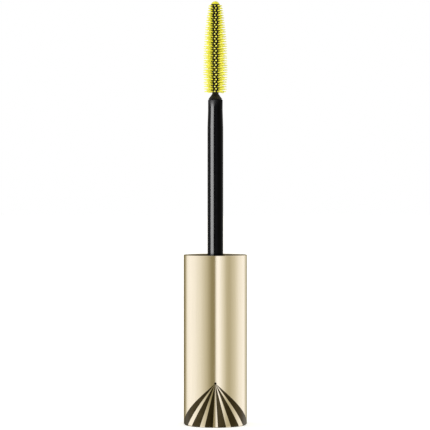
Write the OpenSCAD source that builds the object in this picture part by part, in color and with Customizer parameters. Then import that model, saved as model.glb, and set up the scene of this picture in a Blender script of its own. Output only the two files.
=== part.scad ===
// Mascara applicator: a metal cap that is also the handle, a stem, and a two-shot moulded brush.
// Frame, in millimetres: the origin is the centre of the closed end's resting face and +Z runs to the
// brush tip. The ray decoration faces -Y and repeats towards +Y.
// Stack from the closed end: weight, inner cap with the neck thread, stem, collar, neck, brush.

/* [Cap] */
// Outer diameter of the metal cap
cap_d = 17.9; // [17.9:0.1:20]
// Length of the metal cap
cap_len = 48.25; // [46:0.25:56]
// Wall of the drawn metal shell
shell_wall = 0.45; // [0.35:0.05:0.45]
// Rounding of the closed end's outer edge
edge_r = 0.6; // [0.4:0.1:0.8]
// Depth of the inner cap's mouth below the shell's rim
mouth_recess = 0.8; // [0.7:0.1:1.5]
// Height of the steel weight in the closed end
weight_h = 5.3; // [3:0.1:8]

/* [Rays] */
// Black rays on each side of the cap
ray_count = 6; // [4:2:8]
// Lean of the outermost ray edge from straight down, on the unrolled wall, in degrees
ray_spread = 48.5; // [30:0.5:49]
// Angle of each bare gap between two rays, in degrees
ray_gap = 6.4; // [4:0.1:8]
// Height of the point that the rays start from
apex_z = 12.5; // [10:0.05:13]
// Thickness of the lacquer film
film = 0.03; // [0.02:0.01:0.05]

/* [Neck socket] */
// Radius of the socket's wall, which is the thread's root
socket_r = 7.45; // [7.3:0.05:7.45]
// Depth of the socket below the inner cap's mouth
socket_depth = 14.05; // [12:0.05:16]
// How far the thread stands in from the wall
thread_height = 0.7; // [0.5:0.05:0.8]
// Thread pitch
thread_pitch = 2.117; // [1.8:0.001:2.5]
// Thread turns
thread_turns = 1.5; // [1:0.25:2]

/* [Stem] */
// Stem diameter along its main length
stem_d = 4.44; // [4.2:0.02:4.6]
// Stem diameter at the brush end
stem_tip_d = 4.13; // [4.05:0.02:4.2]
// Height of the stem's brush end
stem_top = 92.15; // [86:0.05:98]

/* [Brush] */
// Height from the stem's end to the brush tip
brush_len = 27.85; // [24:0.05:30]
// Diameter of the black core
core_d = 2.5; // [2.5:0.02:2.7]
// Diameter of the flexible neck
neck_d = 1.9; // [1.7:0.02:2]
// Longest bristle reach from the brush axis
bristle_reach = 3.4; // [3:0.05:3.8]
// Bristle reach at the tip
tip_reach = 1.85; // [1.6:0.05:2.2]
// Bristle reach at the lowest row
base_reach = 3.1; // [2.8:0.05:3.4]
// Bristle diameter where it leaves the core
bristle_root_d = 0.43; // [0.36:0.01:0.43]
// Bristle diameter at its end
bristle_end_d = 0.18; // [0.14:0.01:0.24]
// Bristle rows, counting every level
row_count = 37; // [20:1:37]
// Bristles in one row
row_bristles = 8; // [6:1:8]

/* [Hidden] */
$fn = 64;

slip = 0.02;               // clearance of parts pushed together
glue_gap = 0.05;           // adhesive gap round the inner cap

// cap
cap_r = cap_d / 2;
shell_r = cap_r - shell_wall;
floor_t = 0.6;
rim_r = 0.18;
weight_top = floor_t + weight_h;

// rays
film_end = 65;             // angle of the film's lower edge on the rounded edge
ray_steps = 24;
apex_mark = 0.6;
side_gap = 0.05;           // bare line between the front's film and the back's

// inner cap
inner_r = shell_r - glue_gap;
mouth_z = cap_len - mouth_recess;
seat_z = mouth_z - socket_depth;
seat_t = 1.5;
skirt_r = inner_r - 0.75;
boss_r = 4.3;
boss_z = seat_z - 12;
rib_t = 1;
rib_count = 4;
rib_bite = 0.3;            // how far a rib reaches into the walls that it joins
thread_start = 2;          // depth of the thread's start below the mouth
thread_root_half = 0.62;
thread_crest_half = 0.2;
thread_bite = 0.15;
thread_steps = 32;         // sections in one turn

// stem
stem_r = stem_d / 2;
tip_r = stem_tip_d / 2;
plug_z = boss_z + 1;
flange_r = 3.6;
flange_t = 0.9;
taper_low = stem_top - 8.05;
taper_high = stem_top - 2.95;
tip_chamfer = 0.12;
bead = 0.18;
bead_half = 0.45;
stem_bead_z = plug_z + 3;

// brush
shank_r = 0.86;
shank_z = stem_top - 4.6;
shank_bead_z = shank_z + 1.6;
shank_bead = 0.1;
bore_z = shank_z - 0.4;
foot_r = 1.8;
foot_z = stem_top + 0.12;
cone_r = 1.95;
cone_top = stem_top + 1.57;
neck_r = neck_d / 2;
core_r = core_d / 2;
core_z = cone_top + 0.4;
core_full_z = core_z + 0.7;
tip_z = stem_top + brush_len;
core_top = tip_z - 0.85;
spine_r = 0.7;
first_row_z = core_z + 0.35;
row_step = 0.672;
widest_z = first_row_z + 7;
groove = 0.03;             // moulding grooves between the rows of holes
groove_half = 0.05;
seam_turn = 180 / row_bristles;   // keeps the walls' seam between two columns of holes
bristle_spin = 37;

// Right half of the cap's outer profile, grown outwards
module cap_outline(grow) {
  translate([0, edge_r]) square([cap_r + grow, cap_len - edge_r]);
  translate([0, -grow]) square([cap_r - edge_r, edge_r + grow + 0.1]);
  translate([cap_r - edge_r, edge_r]) circle(edge_r + grow);
}

// Drawn metal cup with a rounded closed end and a softened rim
module cap_shell() {
  color([0.93, 0.86, 0.70])
  rotate_extrude()
  difference() {
    cap_outline(0);
    translate([-cap_r, -cap_r]) square([cap_r, 3 * cap_len]);
    translate([0, floor_t]) square([shell_r, cap_len]);
    translate([cap_r - rim_r, cap_len - rim_r]) difference() {
      square(2 * rim_r);
      circle(rim_r);
    }
  }
}

// Sideways place, seen from the front, of a line on the wall that leans from straight down
function lean_x(lean, drop) =
  let (turn = drop * tan(lean) / cap_r * 180 / PI)
  (turn < 90) ? (cap_r + film / 2) * sin(turn) : cap_r + 1;

// Outline of the part of the front between two leaning lines
module ray_outline(lean_a, lean_b) {
  drops = [for (i = [0:ray_steps]) apex_z * i / ray_steps];
  polygon(concat(
    [for (d = drops) [lean_x(lean_a, d), apex_z - d]],
    [for (i = [ray_steps:-1:1]) [lean_x(lean_b, drops[i]), apex_z - drops[i]]]));
}

// Lacquer rays, seen from the front, on one side of the cap
module ray_fan() {
  ray = (2 * ray_spread - (ray_count - 1) * ray_gap) / ray_count;
  for (i = [0:ray_count / 2 - 1]) {
    low = ray_gap / 2 + i * (ray + ray_gap);
    ray_outline(low, low + ray);
    mirror([1, 0]) ray_outline(low, low + ray);
  }
  translate([0, apex_z]) rotate(45) square(apex_mark, center = true);
}

// Black lacquer film over the wall and round the closed end's edge
module ray_decoration() {
  color([0.07, 0.05, 0.03])
  for (side = [0, 180]) rotate([0, 0, side])
  intersection() {
    rotate_extrude() difference() {
      translate([edge_r, edge_r * (1 - sin(film_end))]) intersection() {
        translate([-edge_r, -edge_r * (1 - sin(film_end))]) cap_outline(film);
        square([cap_r + 1, apex_z + 1]);
      }
      cap_outline(0);
    }
    rotate([90, 0, 0]) linear_extrude(cap_r + 1) ray_fan();
    translate([-cap_r - 1, -cap_r - 1, -1]) cube([2 * cap_r + 2, cap_r + 1 - side_gap, apex_z + 2]);
  }
}

// Steel slug that gives the cap its heft and its stand
module cap_weight() {
  weight_r = shell_r - 0.15;
  bevel = 0.5;
  color([0.62, 0.62, 0.64])
  rotate_extrude() polygon([
    [0, floor_t], [weight_r - bevel, floor_t], [weight_r, floor_t + bevel],
    [weight_r, weight_top - bevel], [weight_r - bevel, weight_top], [0, weight_top]]);
}

// Points of the thread's section at one angle, root buried in the wall
function thread_ring(angle, z) = [
  for (p = [[socket_r + thread_bite, -thread_root_half], [socket_r - thread_height, -thread_crest_half],
            [socket_r - thread_height, thread_crest_half], [socket_r + thread_bite, thread_root_half]])
    [p[0] * cos(angle), p[0] * sin(angle), z + p[1]]];

// Helical rib that holds the bottle's neck
module neck_thread() {
  steps = round(thread_turns * thread_steps);
  rings = [for (i = [0:steps])
    let (turns = thread_turns * i / steps)
    thread_ring(360 * turns, mouth_z - thread_start - thread_pitch * turns)];
  points = [for (ring = rings) for (p = ring) p];
  sides = [for (i = [0:steps - 1]) for (k = [0:3])
    let (a = 4 * i + k, b = 4 * i + (k + 1) % 4) each [[b, a, b + 4], [b + 4, a, a + 4]]];
  last = 4 * steps;
  polyhedron(points, concat(sides, [[0, 1, 2, 3], [last + 3, last + 2, last + 1, last]]));
}

// Bore of the boss, with the groove for the stem's bead
module boss_bore() {
  bore_r = stem_r + slip;
  rotate_extrude() polygon([
    [0, boss_z - 1], [bore_r, boss_z - 1], [bore_r, stem_bead_z - bead_half - slip],
    [bore_r + bead, stem_bead_z], [bore_r, stem_bead_z + bead_half + slip],
    [bore_r, seat_z + 1], [0, seat_z + 1]]);
}

// Plastic liner: threaded socket for the bottle's neck above, boss for the stem below
module inner_cap() {
  lead_in = 0.4;
  color([0.03, 0.03, 0.03])
  union() {
    difference() {
      union() {
        rotate_extrude() polygon([
          [skirt_r, weight_top + slip], [inner_r, weight_top + slip], [inner_r, mouth_z],
          [socket_r + lead_in, mouth_z], [socket_r, mouth_z - lead_in], [socket_r, seat_z],
          [0, seat_z], [0, boss_z], [boss_r, boss_z], [boss_r, seat_z - seat_t],
          [skirt_r, seat_z - seat_t]]);
        for (i = [0:rib_count - 1]) rotate([0, 0, 45 + 360 / rib_count * i])
          translate([boss_r - rib_bite, -rib_t / 2, boss_z + 1])
            cube([skirt_r - boss_r + 2 * rib_bite, rib_t, seat_z - seat_t + rib_bite - (boss_z + 1)]);
      }
      boss_bore();
    }
    neck_thread();
  }
}

// Soft ring on the socket's seat that the bottle's lip presses on
module neck_seal() {
  seal_t = 0.8;
  seal_in = flange_r + 0.15;
  seal_out = socket_r - 0.25;
  color([0.16, 0.16, 0.16])
  rotate_extrude() polygon([
    [seal_in, seat_z], [seal_out, seat_z], [seal_out, seat_z + seal_t - 0.15],
    [seal_out - 0.15, seat_z + seal_t], [seal_in + 0.15, seat_z + seal_t],
    [seal_in, seat_z + seal_t - 0.15]]);
}

// Round rod with a snap-in plug and flange below and a bore for the brush shank above
module wand_stem() {
  plug_bevel = 0.35;
  shank_bore = shank_r + slip;
  color([0.02, 0.02, 0.02])
  rotate_extrude() polygon([
    [0, plug_z], [stem_r - plug_bevel, plug_z], [stem_r, plug_z + plug_bevel],
    [stem_r, stem_bead_z - bead_half], [stem_r + bead, stem_bead_z],
    [stem_r, stem_bead_z + bead_half], [stem_r, seat_z],
    [flange_r, seat_z], [flange_r, seat_z + flange_t - 0.2], [flange_r - 0.2, seat_z + flange_t],
    [stem_r + 0.2, seat_z + flange_t], [stem_r, seat_z + flange_t + 0.2],
    [stem_r, taper_low], [tip_r, taper_high],
    [tip_r, stem_top - tip_chamfer], [tip_r - tip_chamfer, stem_top],
    [shank_bore, stem_top], [shank_bore, shank_bead_z + 0.4],
    [shank_bore + shank_bead, shank_bead_z], [shank_bore, shank_bead_z - 0.4],
    [shank_bore, bore_z], [0, bore_z - 0.3]]);
}

// Cone that seats on the stem's end, with the shank that snaps into its bore
module brush_collar() {
  color([0.06, 0.06, 0.055])
  rotate_extrude() polygon([
    [0, shank_z], [shank_r - 0.25, shank_z], [shank_r, shank_z + 0.4],
    [shank_r, shank_bead_z - 0.35], [shank_r + shank_bead, shank_bead_z],
    [shank_r, shank_bead_z + 0.35], [shank_r, stem_top],
    [foot_r, stem_top], [foot_r, foot_z], [cone_r, foot_z + 0.05], [neck_r, cone_top], [0, cone_top]]);
}

// Short waist where the moulded brush flexes
module brush_neck() {
  waist = 0.05;
  color([0.06, 0.06, 0.055])
  rotate_extrude() polygon([
    [0, cone_top], [neck_r, cone_top], [neck_r - waist, (cone_top + core_z) / 2],
    [neck_r, core_z], [0, core_z]]);
}

// Height of a bristle row, from the lowest up
function row_z(row) = first_row_z + row * row_step;

// Reach of the bristles from the axis at a height
function reach(z) =
  (z > widest_z)
    ? bristle_reach - (bristle_reach - tip_reach) * pow((z - widest_z) / (core_top - widest_z), 2)
    : bristle_reach - (bristle_reach - base_reach) * pow((widest_z - z) / (widest_z - first_row_z), 2);

// Profile points of a wall with a shallow V between rows, from the lowest row up
function ribbed(r, depth) = [
  for (row = [0:row_count - 2])
    let (z = row_z(row) + row_step / 2)
    each [[r, z - groove_half], [r + depth, z], [r, z + groove_half]]];

function reversed(list) = [for (i = [len(list) - 1:-1:0]) list[i]];

// Puts its child on every bristle's axis, pointing out along +X. Rows are staggered by a quarter of a
// space, an eighth to either side of -Y.
module at_bristles() {
  for (row = [0:row_count - 1]) for (i = [0:row_bristles - 1])
    rotate([0, 0, -90 + 360 / row_bristles * (i + (row % 2) / 4 - 1 / 8)])
      translate([0, 0, row_z(row)]) {
        $reach = reach(row_z(row));
        children();
      }
}

// Black first shot: a tube with a hole for every bristle
module brush_core() {
  hole_r = bristle_root_d / 2 + 0.03;
  color([0.04, 0.04, 0.035])
  difference() {
    rotate(seam_turn) rotate_extrude() polygon(concat(
      [[0, core_z], [neck_r, core_z], [core_r, core_full_z]],
      ribbed(core_r, -groove),
      [[core_r, core_top], [spine_r + slip, core_top]],
      reversed(ribbed(spine_r + slip, groove)),
      [[spine_r + slip, core_z + 0.12], [0, core_z + 0.12]]));
    at_bristles() translate([spine_r - 0.04, 0, 0]) rotate([0, 90, 0]) cylinder(h = 1, r = hole_r, $fn = 24);
  }
}

// Yellow second shot: the spine inside the core, every bristle and the domed crown
module bristles() {
  dome_h = tip_z - core_top;
  root = spine_r - 0.09;
  color([0.92, 0.88, 0.25])
  union() {
    rotate(seam_turn) rotate_extrude() union() {
      polygon(concat(
        [[0, core_z + 0.14], [spine_r, core_z + 0.14]],
        ribbed(spine_r, groove),
        [[spine_r, core_top + 0.1], [0, core_top + 0.1]]));
      translate([0, core_top + slip]) intersection() {
        translate([0, dome_h - slip - core_r]) circle(core_r);
        square([core_r, dome_h]);
      }
    }
    at_bristles() translate([root, 0, 0]) rotate([0, 90, 0]) rotate(bristle_spin)
      cylinder(h = $reach - root, r1 = bristle_root_d / 2, r2 = bristle_end_d / 2, $fn = 24);
  }
}

cap_shell();
ray_decoration();
cap_weight();
inner_cap();
neck_seal();
wand_stem();
brush_collar();
brush_neck();
brush_core();
bristles();
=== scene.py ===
"""Looks of the mascara applicator: gold cap with lacquer rays, black stem and yellow moulded brush.

Lengths are in metres, in the frame's own axes. Every radius and height is read from the CAD nodes' boxes
or is a small feature size given in millimetres through MM.
"""

import math
import random

import bpy
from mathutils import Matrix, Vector


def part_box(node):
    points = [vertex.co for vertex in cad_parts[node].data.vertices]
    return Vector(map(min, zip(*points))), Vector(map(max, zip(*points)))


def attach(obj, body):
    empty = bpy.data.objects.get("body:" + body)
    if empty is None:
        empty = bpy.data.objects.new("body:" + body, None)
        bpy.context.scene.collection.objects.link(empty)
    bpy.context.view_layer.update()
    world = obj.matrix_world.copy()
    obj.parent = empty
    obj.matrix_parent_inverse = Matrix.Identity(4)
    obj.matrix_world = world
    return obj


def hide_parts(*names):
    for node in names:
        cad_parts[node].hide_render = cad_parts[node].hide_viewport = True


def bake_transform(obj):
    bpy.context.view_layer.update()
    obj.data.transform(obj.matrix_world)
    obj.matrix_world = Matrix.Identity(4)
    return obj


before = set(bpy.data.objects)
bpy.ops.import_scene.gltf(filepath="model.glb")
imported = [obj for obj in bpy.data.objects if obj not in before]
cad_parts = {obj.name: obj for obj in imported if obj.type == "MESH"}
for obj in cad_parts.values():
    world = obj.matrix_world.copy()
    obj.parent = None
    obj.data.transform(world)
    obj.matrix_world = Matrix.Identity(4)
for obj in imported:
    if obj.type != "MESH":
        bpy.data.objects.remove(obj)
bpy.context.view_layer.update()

MM = 0.001
TURN = 2 * math.pi


# ---------------------------------------------------------------- places read from the frame

def half_width(node):
    """Radius of a round node."""
    low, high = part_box(node)
    return (high.x - low.x) / 2


def low_z(node):
    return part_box(node)[0].z


def high_z(node):
    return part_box(node)[1].z


CAP_R = half_width("cap_shell")
CAP_TOP = high_z("cap_shell")
CAP_FLOOR = low_z("cap_weight")
CAP_INNER_R = half_width("inner_cap") + 0.05 * MM
# Radii of the closed end's edge and of the rim, outside and inside.
EDGE_R = 0.6 * MM
RIM_R = 0.18 * MM
INNER_RIM_R = 0.08 * MM

# The rays: how far the film stands proud of the wall, and how deep its hidden face lies in it.
FILM = 0.03 * MM
FILM_ROOT = -0.02 * MM
APEX_Z = 12.5 * MM
RAY_COUNT = 6
# Lean from the vertical of the outermost edges, and of the gap between two rays.
RAY_SPREAD = math.radians(48.5)
RAY_GAP = math.radians(6.4)
# Angle on the closed end's rounded edge where the film stops.
FILM_END = math.radians(65)
# A ray's edge stops just short of the cap's side, where the rays of the back begin.
TURN_LIMIT = math.pi / 2 - 0.004
# Faces of a film that meet at more than this angle show a crisp edge.
FILM_SHARP = math.radians(50)

NECK_R = half_width("brush_neck")
NECK_LOW = low_z("brush_neck")
NECK_HIGH = high_z("brush_neck")
NECK_PIVOT = (NECK_LOW + NECK_HIGH) / 2
NECK_WAIST = 0.05 * MM

CORE_R = half_width("brush_core")
CORE_LOW = low_z("brush_core")
CORE_TOP = high_z("brush_core")
TIP_Z = high_z("bristles")
# Distance from the axis to the bristle ends, at the widest row, at the tip and at the base.
REACH = half_width("bristles")
TIP_REACH = 1.85 * MM
BASE_REACH = 3.1 * MM
SPINE_R = 0.7 * MM
ROWS = 37
PER_ROW = 8
ROW_STEP = 0.672 * MM
FIRST_ROW = CORE_LOW + 0.35 * MM
WIDEST_Z = FIRST_ROW + 7 * MM
BRISTLE_ROOT_R = 0.24 * MM
BRISTLE_END_R = 0.135 * MM
# Lean of a row's bristles in turn from the front one: up on the front diagonals, down on the back ones.
ROW_LEANS = [0.13 * turn for turn in (0, 1, 0, -1, 0, -1, 0, 1)]


# ---------------------------------------------------------------- mesh helpers

def arc(centre, radius, start, end, steps):
    """Points of an arc in the (radius, z) plane, angles in radians from outwards towards +Z."""
    angles = [start + (end - start) * i / steps for i in range(steps + 1)]
    return [(centre[0] + radius * math.cos(a), centre[1] + radius * math.sin(a)) for a in angles]


def mesh_object(name, points, faces, material, sharp=math.radians(40)):
    """A smooth-shaded object with sharp edges where faces meet at more than the given angle."""
    mesh = bpy.data.meshes.new(name)
    mesh.from_pydata(points, [], faces)
    mesh.validate()
    mesh.shade_smooth()
    mesh.set_sharp_from_angle(angle=sharp)
    mesh.materials.append(material)
    obj = bpy.data.objects.new(name, mesh)
    bpy.context.scene.collection.objects.link(obj)
    return obj


def lathe(name, profile, material, segments):
    """Solid of revolution about Z. The profile runs from axis to axis, counter-clockwise seen in (r, z)."""
    points = [(0, 0, profile[0][1])]
    rings = profile[1:-1]
    for r, z in rings:
        for s in range(segments):
            a = TURN * s / segments
            points.append((r * math.cos(a), r * math.sin(a), z))
    points.append((0, 0, profile[-1][1]))
    last = len(points) - 1
    faces = []
    for s in range(segments):
        t = (s + 1) % segments
        faces.append((0, 1 + t, 1 + s))
        for k in range(len(rings) - 1):
            a = 1 + k * segments
            b = a + segments
            faces.append((a + s, a + t, b + t, b + s))
        top = 1 + (len(rings) - 1) * segments
        faces.append((top + s, top + t, last))
    return mesh_object(name, points, faces, material)


def closed_film(points, faces, across, along, proud, place):
    """Adds a thin closed patch: an outer and a hidden sheet of points, joined round their border.

    place(j, k, depth) gives the point of column j and row k on the sheet at that depth.
    """
    base = len(points)
    for depth in (proud, FILM_ROOT):
        points.extend(place(j, k, depth) for k in range(along + 1) for j in range(across + 1))
    width = across + 1
    sheet = width * (along + 1)
    for k in range(along):
        for j in range(across):
            a = base + k * width + j
            b = a + sheet
            faces.append((a, a + width, a + width + 1, a + 1))
            faces.append((b, b + 1, b + width + 1, b + width))
    border = ([base + j for j in range(across)]
              + [base + k * width + across for k in range(along)]
              + [base + along * width + j for j in range(across, 0, -1)]
              + [base + k * width for k in range(along, 0, -1)])
    for a, b in zip(border, border[1:] + border[:1]):
        faces.append((a, b, b + sheet, a + sheet))


# ---------------------------------------------------------------- materials

# Most of a noise texture's values lie between these two.
NOISE_SPAN = (0.3, 0.7)


def new_material(name):
    """A node material, its node tree and its Principled shader."""
    material = bpy.data.materials.new(name)
    material.use_nodes = True
    tree = material.node_tree
    return material, tree, tree.nodes["Principled BSDF"]


def noise(tree, scale, stretch=(1, 1, 1)):
    """A noise texture over the object, in features per metre, stretched where the factor is small."""
    coord = tree.nodes.new("ShaderNodeTexCoord")
    mapping = tree.nodes.new("ShaderNodeMapping")
    mapping.inputs["Scale"].default_value = stretch
    texture = tree.nodes.new("ShaderNodeTexNoise")
    texture.inputs["Scale"].default_value = scale
    texture.inputs["Detail"].default_value = 4.0
    tree.links.new(coord.outputs["Object"], mapping.inputs["Vector"])
    tree.links.new(mapping.outputs["Vector"], texture.inputs["Vector"])
    return texture.outputs["Fac"]


def remap(tree, value, start, end, low=0.0, high=1.0):
    """Maps a value from the range start to end to the range low to high."""
    node = tree.nodes.new("ShaderNodeMapRange")
    node.inputs["From Min"].default_value = start
    node.inputs["From Max"].default_value = end
    node.inputs["To Min"].default_value = low
    node.inputs["To Max"].default_value = high
    tree.links.new(value, node.inputs["Value"])
    return node.outputs["Result"]


def spread(tree, value, low, high):
    """Maps a noise value to the range from low to high."""
    return remap(tree, value, *NOISE_SPAN, low, high)


def two_tone(tree, value, dark, light):
    """A colour between dark and light, by a noise value."""
    ramp = tree.nodes.new("ShaderNodeValToRGB")
    for element, position, colour in zip(ramp.color_ramp.elements, NOISE_SPAN, (dark, light)):
        element.position = position
        element.color = (*colour, 1)
    tree.links.new(value, ramp.inputs["Fac"])
    return ramp.outputs["Color"]


def object_height(tree):
    """The Z coordinate in the object's own axes."""
    coord = tree.nodes.new("ShaderNodeTexCoord")
    split = tree.nodes.new("ShaderNodeSeparateXYZ")
    tree.links.new(coord.outputs["Object"], split.inputs["Vector"])
    return split.outputs["Z"]


def arithmetic(tree, operation, first, second):
    """A Math node. Its second input is a socket or a number."""
    node = tree.nodes.new("ShaderNodeMath")
    node.operation = operation
    tree.links.new(first, node.inputs[0])
    if isinstance(second, float):
        node.inputs[1].default_value = second
    else:
        tree.links.new(second, node.inputs[1])
    return node.outputs["Value"]


def bump(tree, shader, height, strength, distance):
    """Tilts the shader's normal by a height value. Distance is the height in metres of a full step."""
    node = tree.nodes.new("ShaderNodeBump")
    node.inputs["Strength"].default_value = strength
    node.inputs["Distance"].default_value = distance
    tree.links.new(height, node.inputs["Height"])
    tree.links.new(node.outputs["Normal"], shader.inputs["Normal"])


def gold_metal():
    """Champagne anodised aluminium: near-mirror, with a very fine grain along the draw direction."""
    material, tree, shader = new_material("gold_anodised")
    shader.inputs["Metallic"].default_value = 1.0
    grain = noise(tree, 9000, stretch=(1, 1, 0.012))
    cloud = noise(tree, 260)
    tone = two_tone(tree, grain, (0.872, 0.772, 0.590), (0.912, 0.812, 0.632))
    tree.links.new(tone, shader.inputs["Base Color"])
    tree.links.new(spread(tree, cloud, 0.10, 0.135), shader.inputs["Roughness"])
    bump(tree, shader, grain, 0.05, 0.002 * MM)
    return material


def painted_shade_inside():
    """Inside of the drawn cup: the same metal, rougher, with painted shade: its colour is darkened to stand
    for the shade inside the cup.
    """
    material, tree, shader = new_material("gold_inside_painted_shade")
    shader.inputs["Metallic"].default_value = 1.0
    # Painted shade: this dark metal colour stands for the shade inside the cup.
    tone = two_tone(tree, noise(tree, 1200), (0.20, 0.168, 0.100), (0.27, 0.230, 0.145))
    tree.links.new(tone, shader.inputs["Base Color"])
    tree.links.new(spread(tree, noise(tree, 3000), 0.45, 0.6), shader.inputs["Roughness"])
    bump(tree, shader, noise(tree, 5000, stretch=(1, 1, 0.1)), 0.1, 0.004 * MM)
    return material


def black_lacquer(name, dark, light):
    """Screen-printed lacquer: near-black brown film with a soft gloss, a little uneven."""
    material, tree, shader = new_material(name)
    shader.inputs["Metallic"].default_value = 1.0
    cloud = noise(tree, 700)
    tone = two_tone(tree, cloud, dark, light)
    tree.links.new(tone, shader.inputs["Base Color"])
    tree.links.new(spread(tree, noise(tree, 5000), 0.16, 0.24), shader.inputs["Roughness"])
    bump(tree, shader, noise(tree, 3000), 0.08, 0.004 * MM)
    return material


def turned_steel():
    """Machined steel slug with rings from the lathe tool."""
    material, tree, shader = new_material("turned_steel")
    shader.inputs["Metallic"].default_value = 1.0
    tone = two_tone(tree, noise(tree, 900), (0.50, 0.50, 0.51), (0.62, 0.62, 0.63))
    tree.links.new(tone, shader.inputs["Base Color"])
    rings = (0.1, 0.1, 1)
    tree.links.new(spread(tree, noise(tree, 4000, rings), 0.25, 0.4), shader.inputs["Roughness"])
    bump(tree, shader, noise(tree, 6000, rings), 0.2, 0.01 * MM)
    return material


def moulded_plastic(name, dark, light, grain_scale, grain_height):
    """Black moulding with a spark-eroded texture."""
    material, tree, shader = new_material(name)
    shader.inputs["IOR"].default_value = 1.49
    shader.inputs["Specular IOR Level"].default_value = 0.25
    tone = two_tone(tree, noise(tree, grain_scale / 4), dark, light)
    tree.links.new(tone, shader.inputs["Base Color"])
    fine = noise(tree, grain_scale)
    tree.links.new(spread(tree, fine, 0.44, 0.56), shader.inputs["Roughness"])
    bump(tree, shader, fine, 0.35, grain_height)
    return material


def soft_rubber():
    """Charcoal sealing elastomer."""
    material, tree, shader = new_material("seal_rubber")
    shader.inputs["Sheen Weight"].default_value = 0.15
    tone = two_tone(tree, noise(tree, 2500), (0.035, 0.035, 0.036), (0.060, 0.060, 0.060))
    tree.links.new(tone, shader.inputs["Base Color"])
    tree.links.new(spread(tree, noise(tree, 6000), 0.6, 0.8), shader.inputs["Roughness"])
    bump(tree, shader, noise(tree, 7000), 0.3, 0.01 * MM)
    return material


def polished_black():
    """Polished black rod that turns satin over its last two millimetres, where the mould isn't polished."""
    material, tree, shader = new_material("stem_gloss")
    shader.inputs["IOR"].default_value = 1.46
    shader.inputs["Specular IOR Level"].default_value = 0.055
    tone = two_tone(tree, noise(tree, 600), (0.0002, 0.0002, 0.0003), (0.0005, 0.0005, 0.0006))
    tree.links.new(tone, shader.inputs["Base Color"])
    stem_top = high_z("wand_stem")
    satin = remap(tree, object_height(tree), stem_top - 2.4 * MM, stem_top - 0.2 * MM, 0.0, 0.45)
    gloss = spread(tree, noise(tree, 300, stretch=(1, 1, 0.05)), 0.155, 0.165)
    tree.links.new(arithmetic(tree, "ADD", gloss, satin), shader.inputs["Roughness"])
    bump(tree, shader, noise(tree, 400, stretch=(1, 1, 0.02)), 0.002, 0.001 * MM)
    return material


def yellow_elastomer():
    """Soft lemon elastomer whose colour turns paler towards the bristle ends: painted light standing for
    light coming through the thin ends and for the highlight on their end faces.
    """
    material, tree, shader = new_material("bristle_yellow")
    shader.inputs["Subsurface Weight"].default_value = 0.35
    shader.inputs["Subsurface Radius"].default_value = (1.0, 0.9, 0.2)
    shader.inputs["Subsurface Scale"].default_value = 0.35 * MM
    shader.inputs["Specular IOR Level"].default_value = 0.35
    coord = tree.nodes.new("ShaderNodeTexCoord")
    flat = tree.nodes.new("ShaderNodeMapping")
    flat.inputs["Scale"].default_value = (1, 1, 0)
    tree.links.new(coord.outputs["Object"], flat.inputs["Vector"])
    from_axis = tree.nodes.new("ShaderNodeVectorMath")
    from_axis.operation = "LENGTH"
    tree.links.new(flat.outputs["Vector"], from_axis.inputs[0])
    painted_tip_light = tree.nodes.new("ShaderNodeMix")
    painted_tip_light.data_type = "RGBA"
    # Pale tip colour: painted light for the light through the thin ends and the highlight on their end
    # faces.
    painted_tip_light.inputs["B"].default_value = (0.92, 0.89, 0.22, 1)
    tree.links.new(remap(tree, from_axis.outputs["Value"], CORE_R, REACH), painted_tip_light.inputs["Factor"])
    tone = two_tone(tree, noise(tree, 1500), (0.72, 0.68, 0.022), (0.79, 0.75, 0.040))
    tree.links.new(tone, painted_tip_light.inputs["A"])
    tree.links.new(painted_tip_light.outputs["Result"], shader.inputs["Base Color"])
    tree.links.new(spread(tree, noise(tree, 5000), 0.38, 0.5), shader.inputs["Roughness"])
    bump(tree, shader, noise(tree, 9000), 0.15, 0.004 * MM)
    return material


# ---------------------------------------------------------------- pieces

def cap_metal(material, inside):
    """Drawn cup: flat closed end, rounded edge, straight wall, softened rim, plain inside with painted
    shade.
    """
    wall = CAP_TOP - RIM_R - EDGE_R
    bands = 12
    profile = [(0, 0), (CAP_R / 2, 0)]
    profile += arc((CAP_R - EDGE_R, EDGE_R), EDGE_R, -math.pi / 2, 0, 10)
    profile += [(CAP_R, EDGE_R + wall * i / bands) for i in range(1, bands)]
    profile += arc((CAP_R - RIM_R, CAP_TOP - RIM_R), RIM_R, 0, math.pi / 2, 6)
    profile += arc((CAP_INNER_R + INNER_RIM_R, CAP_TOP - INNER_RIM_R), INNER_RIM_R, math.pi / 2, math.pi, 3)
    profile += [(CAP_INNER_R, CAP_FLOOR), (0, CAP_FLOOR)]
    cup = lathe("cap_metal", profile, material, 256)
    # The inside faces take the dark metal with painted shade.
    cup.data.materials.append(inside)
    for face in cup.data.polygons:
        if math.hypot(face.center.x, face.center.y) < CAP_INNER_R and face.center.z >= CAP_FLOOR:
            face.material_index = 1
    return cup


def film_place(turn, drop, proud):
    """A point of the film on the unrolled wall, bent over the closed end's rounded edge."""
    z = APEX_Z - drop
    if z >= EDGE_R:
        r = CAP_R + proud
    else:
        over = min((EDGE_R - z) / EDGE_R, FILM_END)
        r = CAP_R - EDGE_R + (EDGE_R + proud) * math.cos(over)
        z = EDGE_R - (EDGE_R + proud) * math.sin(over)
    return (r * math.sin(turn), -r * math.cos(turn), z)


def ray_edges():
    """Lean angles of the two edges of each ray, from the leftmost ray to the rightmost."""
    ray = (2 * RAY_SPREAD - (RAY_COUNT - 1) * RAY_GAP) / RAY_COUNT
    return [(-RAY_SPREAD + i * (ray + RAY_GAP), -RAY_SPREAD + i * (ray + RAY_GAP) + ray)
            for i in range(RAY_COUNT)]


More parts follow.
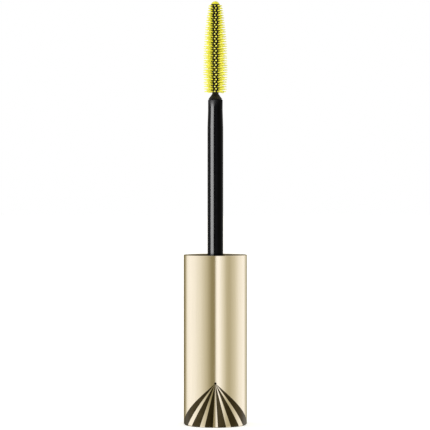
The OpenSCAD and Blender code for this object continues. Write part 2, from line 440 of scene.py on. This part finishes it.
def lacquer_rays(material):
    """One thin closed film per ray, on the front and again on the back."""
    across, along = 10, 44
    first_drop = 0.12 * MM
    last_drop = APEX_Z - EDGE_R + EDGE_R * FILM_END
    points, faces = [], []
    for side in (0, math.pi):
        for low, high in ray_edges():
            def place(j, k, depth):
                drop = first_drop + (last_drop - first_drop) * k / along
                lean = low + (high - low) * j / across
                turn = max(-TURN_LIMIT, min(TURN_LIMIT, drop * math.tan(lean) / CAP_R))
                return film_place(side + turn, drop, depth)

            closed_film(points, faces, across, along, FILM, place)
    return mesh_object("lacquer_rays", points, faces, material, sharp=FILM_SHARP)


def apex_marks(material):
    """Small diamond of thicker, blacker lacquer where the rays start, on both sides."""
    size = 0.42 * MM
    steps = 6
    points, faces = [], []
    for side in (0, math.pi):
        def place(j, k, depth):
            u = j / steps - 0.5
            v = k / steps - 0.5
            return film_place(side + (u - v) * size / CAP_R, (u + v) * size, depth)

        closed_film(points, faces, steps, steps, FILM * 1.2, place)
    return mesh_object("apex_marks", points, faces, material, sharp=FILM_SHARP)


def neck_half(name, low, high, material):
    """Half of the flexible waist, with enough rings to bend smoothly."""
    steps = 12
    profile = [(0, low)]
    for i in range(steps + 1):
        z = low + (high - low) * i / steps
        depth = 1 - abs(z - NECK_PIVOT) / (NECK_HIGH - NECK_PIVOT)
        profile.append((NECK_R - NECK_WAIST * math.sin(depth * math.pi / 2), z))
    profile.append((0, high))
    return lathe(name, profile, material, 96)


def reach(z):
    """Distance from the axis to the bristle ends at a height."""
    if z > WIDEST_Z:
        return REACH - (REACH - TIP_REACH) * ((z - WIDEST_Z) / (CORE_TOP - WIDEST_Z)) ** 2
    return REACH - (REACH - BASE_REACH) * ((WIDEST_Z - z) / (WIDEST_Z - FIRST_ROW)) ** 2


def bristle_mesh(points, faces, azimuth, z, length, lean, rng):
    """Adds one tapered bristle from the spine out, with a thick root and a blunt end.

    Outside the core it leans by lean and a little at random, up or down and to a side.
    """
    sides, rings = 10, 9
    start = SPINE_R - 0.05 * MM
    lift = lean + rng.uniform(-0.035, 0.035)
    sway = rng.uniform(-0.04, 0.04)
    out = Vector((math.cos(azimuth), math.sin(azimuth), 0))
    side = Vector((-math.sin(azimuth), math.cos(azimuth), 0))
    up = Vector((0, 0, 1))
    base = len(points)
    for i in range(rings + 1):
        t = i / rings
        along = start + (length - start) * t
        free = max(0.0, along - CORE_R)
        centre = out * along + side * (sway * free) + up * (z + lift * free)
        if t < 1:
            radius = BRISTLE_END_R + (BRISTLE_ROOT_R - BRISTLE_END_R) * (1 - t ** 2)
        else:
            radius = BRISTLE_END_R * 0.7
        for k in range(sides):
            a = TURN * k / sides
            points.append(centre + side * (radius * math.cos(a)) + up * (radius * math.sin(a)))
    for i in range(rings):
        for k in range(sides):
            m = (k + 1) % sides
            a = base + i * sides
            b = a + sides
            faces.append((a + k, a + m, b + m, b + k))
    faces.append(tuple(base + k for k in range(sides - 1, -1, -1)))
    faces.append(tuple(base + rings * sides + k for k in range(sides)))


def bristle_rows(material):
    """All bristles, one through each hole of the core. Rows are staggered by a quarter of a space."""
    rng = random.Random(7)
    points, faces = [], []
    for row in range(ROWS):
        z = FIRST_ROW + row * ROW_STEP
        for i in range(PER_ROW):
            azimuth = -math.pi / 2 + TURN / PER_ROW * (i + (row % 2) / 4 - 1 / 8)
            length = reach(z) * rng.uniform(0.98, 1.03)
            bristle_mesh(points, faces, azimuth, z, length, ROW_LEANS[i], rng)
    return mesh_object("bristle_rows", points, faces, material)


def brush_crown(material):
    """Domed tip and the spine that joins it to the bristles inside the core."""
    seat = CORE_TOP + 0.02 * MM
    foot = CORE_LOW + 0.2 * MM
    ball = CORE_R
    centre_z = TIP_Z - ball
    start = math.asin((seat - centre_z) / ball)
    profile = [(0, foot), (SPINE_R, foot), (SPINE_R, seat)]
    profile += arc((0, centre_z), ball, start, math.radians(84), 14)
    profile.append((0, TIP_Z))
    return lathe("brush_crown", profile, material, 96)


def dress(nodes, material):
    """Gives CAD nodes a material and smooth shading with crisp edges."""
    for name in nodes:
        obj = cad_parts[name]
        obj.data.materials.clear()
        obj.data.materials.append(material)
        obj.data.shade_smooth()
        obj.data.set_sharp_from_angle(angle=math.radians(30))


gold = gold_metal()
lacquer = black_lacquer("ray_lacquer", (0.050, 0.037, 0.016), (0.070, 0.053, 0.024))
thick_lacquer = black_lacquer("ray_lacquer_thick", (0.010, 0.007, 0.003), (0.016, 0.012, 0.005))
yellow = yellow_elastomer()
brush_black = moulded_plastic(
    "brush_black", (0.003, 0.003, 0.0025), (0.006, 0.006, 0.005), 5000, 0.003 * MM)
liner_black = moulded_plastic(
    "liner_black", (0.010, 0.010, 0.010), (0.016, 0.016, 0.016), 4000, 0.01 * MM)

cup = cap_metal(gold, painted_shade_inside())
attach(cup, "cap")
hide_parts("cap_shell")

rays = lacquer_rays(lacquer)
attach(rays, "cap")
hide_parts("ray_decoration")

marks = apex_marks(thick_lacquer)
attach(marks, "cap")

dress(["wand_stem"], polished_black())
dress(["cap_weight"], turned_steel())
dress(["inner_cap"], liner_black)
dress(["neck_seal"], soft_rubber())
dress(["brush_collar", "brush_core"], brush_black)

neck_low = neck_half("neck_lower", NECK_LOW, NECK_PIVOT, brush_black)
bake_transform(neck_low)
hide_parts("brush_neck")
neck_high = neck_half("neck_upper", NECK_PIVOT, NECK_HIGH, brush_black)
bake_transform(neck_high)

hairs = bristle_rows(yellow)
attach(hairs, "brush")
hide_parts("bristles")
crown = brush_crown(yellow)
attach(crown, "brush")


# ---------------------------------------------------------------- studio

def floor_material():
    """Pale matt sweep, lifted a little by its own glow so that it reads as a lit white table."""
    material, tree, shader = new_material("floor_white")
    tone = two_tone(tree, noise(tree, 30), (0.88, 0.88, 0.88), (0.90, 0.90, 0.90))
    tree.links.new(tone, shader.inputs["Base Color"])
    shader.inputs["Roughness"].default_value = 0.9
    shader.inputs["Specular IOR Level"].default_value = 0.0
    shader.inputs["Emission Color"].default_value = (1, 1, 1, 1)
    shader.inputs["Emission Strength"].default_value = 0.55
    return material


def studio_floor():
    """A wide pale table. The metal doesn't mirror it, as if it stood on a lit sweep."""
    size = 6.0
    steps = 8
    width = steps + 1
    places = [size * (i / steps - 0.5) for i in range(width)]
    points = [(x, y, 0) for y in places for x in places]
    corners = [j * width + i for j in range(steps) for i in range(steps)]
    faces = [(a, a + 1, a + width + 1, a + width) for a in corners]
    floor = mesh_object("floor", points, faces, floor_material())
    floor.visible_glossy = False


# Brightness of the studio round the object: (degrees from the viewer's side towards +X, level).
# A dark flag stands just left of the viewer, a strip box just right, and large boxes on both sides.
LIGHT_RING = [
    (-180, 0.10), (-152, 0.22), (-138, 0.50), (-124, 1.00), (-106, 1.10), (-82, 1.04), (-56, 0.86),
    (-30, 0.56), (-14, 0.31), (-2, 0.29), (3.5, 1.04), (8, 1.16), (14, 1.12), (26, 0.88), (42, 0.56),
    (54, 0.52), (75, 0.70), (96, 0.96), (126, 1.10), (138, 0.86), (156, 0.42), (180, 0.10)]


def studio_world():
    """Softboxes and flags as a ring of light, and a plain white backdrop for the camera."""
    world = bpy.data.worlds.new("studio")
    world.use_nodes = True
    bpy.context.scene.world = world
    tree = world.node_tree
    tree.nodes.clear()
    coord = tree.nodes.new("ShaderNodeTexCoord")
    split = tree.nodes.new("ShaderNodeSeparateXYZ")
    tree.links.new(coord.outputs["Generated"], split.inputs["Vector"])
    to_viewer = arithmetic(tree, "MULTIPLY", split.outputs["Y"], -1.0)
    azimuth = arithmetic(tree, "ARCTAN2", split.outputs["X"], to_viewer)
    ramp = tree.nodes.new("ShaderNodeValToRGB")
    elements = ramp.color_ramp.elements
    while len(elements) < len(LIGHT_RING):
        elements.new(0.5)
    # Places come first, because moving an element sorts the ramp again. Dim light is warmer.
    for element, (degrees, level) in zip(elements, LIGHT_RING):
        element.position = (degrees + 180) / 360
    for element, (degrees, level) in zip(elements, LIGHT_RING):
        element.color = (level, level ** 1.1, level ** 1.55, 1)
    tree.links.new(remap(tree, azimuth, -math.pi, math.pi), ramp.inputs["Fac"])
    ring = tree.nodes.new("ShaderNodeBackground")
    tree.links.new(ramp.outputs["Color"], ring.inputs["Color"])
    backdrop = tree.nodes.new("ShaderNodeBackground")
    backdrop.inputs["Color"].default_value = (1, 1, 1, 1)
    path = tree.nodes.new("ShaderNodeLightPath")
    mix = tree.nodes.new("ShaderNodeMixShader")
    tree.links.new(path.outputs["Is Camera Ray"], mix.inputs["Fac"])
    tree.links.new(ring.outputs["Background"], mix.inputs[1])
    tree.links.new(backdrop.outputs["Background"], mix.inputs[2])
    output = tree.nodes.new("ShaderNodeOutputWorld")
    tree.links.new(mix.outputs["Shader"], output.inputs["Surface"])


def look_at(obj, target):
    """Turns a camera or light towards a point."""
    direction = Vector(target) - obj.location
    obj.rotation_euler = direction.to_track_quat("-Z", "Y").to_euler()


def linked_softbox(name, degrees, distance, height, watts, receivers):
    """A square softbox that lights only the given pieces, as a flagged light does in a studio."""
    data = bpy.data.lights.new(name, "AREA")
    data.shape = "RECTANGLE"
    data.size = 0.5
    data.size_y = 0.5
    data.energy = watts
    light = bpy.data.objects.new(name, data)
    azimuth = math.radians(degrees)
    light.location = (distance * math.sin(azimuth), -distance * math.cos(azimuth), height)
    look_at(light, (0, 0, height))
    bpy.context.scene.collection.objects.link(light)
    group = bpy.data.collections.new(name + "_receivers")
    for piece in receivers:
        group.objects.link(piece)
    light.light_linking.receiver_collection = group


def camera():
    """Long lens a little above the middle of the object, looking slightly down."""
    distance = 650 * MM
    eye = 72 * MM
    aim = 59.5 * MM
    aside = -0.1 * MM
    view_height = 121.862 * MM
    data = bpy.data.cameras.new("camera")
    data.sensor_width = 36.0
    data.lens = data.sensor_width * distance / view_height
    data.clip_start = 0.01
    obj = bpy.data.objects.new("camera", data)
    obj.location = (aside, -distance, eye)
    look_at(obj, (aside, 0, aim))
    bpy.context.scene.collection.objects.link(obj)
    bpy.context.scene.camera = obj


def plain_colours():
    """Shows colours as they are, with no film look."""
    view = bpy.context.scene.view_settings
    view.view_transform = "Standard"
    view.look = "None"
    view.exposure = 0.0


studio_floor()
studio_world()
linked_softbox("stem_strip", -50, 0.6, 0.085, 66, [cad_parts["wand_stem"]])
linked_softbox("brush_key", -45, 0.5, 0.12, 2, [hairs, crown])
camera()
plain_colours()
